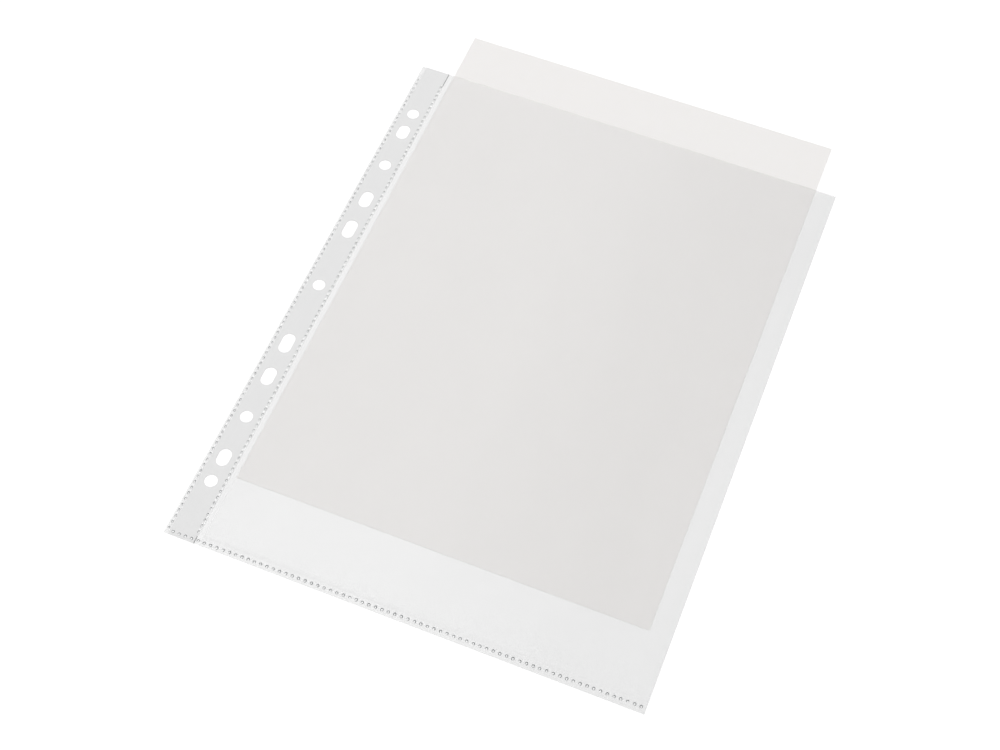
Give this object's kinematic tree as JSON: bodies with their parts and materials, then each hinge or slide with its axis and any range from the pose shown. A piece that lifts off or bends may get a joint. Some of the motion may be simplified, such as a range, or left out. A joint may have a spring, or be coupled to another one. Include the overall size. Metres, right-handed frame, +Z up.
{
  "type": "sheet protector",
  "caption": "Flat punched pocket of clear film with a reinforced binding strip and an open mouth, holding one office sheet that slides out at the top.",
  "frame": {"origin": "centre of the middle punched hole, on the face that the pocket lies on", "axes": "+X from the binding strip to the fold, +Y along the strip from the foot weld to the mouth, +Z up through the layers"},
  "size_m": [0.24, 0.335, 0.0007],
  "materials": {
    "film": "finely embossed clear polypropylene film",
    "tape": "satin, milky polypropylene strip",
    "weld": "film melted and pressed by a heated bar",
    "paper": "smooth uncoated office paper"
  },
  "bodies": {
    "strip": {"strip_back_film": "film", "strip_front_film": "film", "reinforcing_tape": "tape", "outer_edge_welds": "weld", "inner_edge_welds": "weld", "strip_foot_welds": "weld"},
    "pocket": {"back_film": "film", "side_fold": "film", "front_shoulder": "film", "front_hem": "film", "front_margin": "film", "foot_welds": "weld"},
    "front": {"front_film": "film"},
    "sheet": {"insert_sheet": "paper"}
  },
  "joints": [
    {"name": "page_turn", "type": "hinge", "parent": "strip", "child": "pocket", "pos_m": [0.00736, 0, 0.00034], "axis": [0, -1, 0], "range_deg": [0, 150]},
    {"name": "mouth_open", "type": "hinge", "parent": "pocket", "child": "front", "pos_m": [0.12, -0.14615, 0.00067], "axis": [1, 0, 0], "range_deg": [0, 2], "stiffness_Nm_per_rad": 0.5},
    {"name": "sheet_slide", "type": "slide", "parent": "pocket", "child": "sheet", "axis": [0, 1, 0], "range_m": [-0.0325, 0.265]}
  ]
}
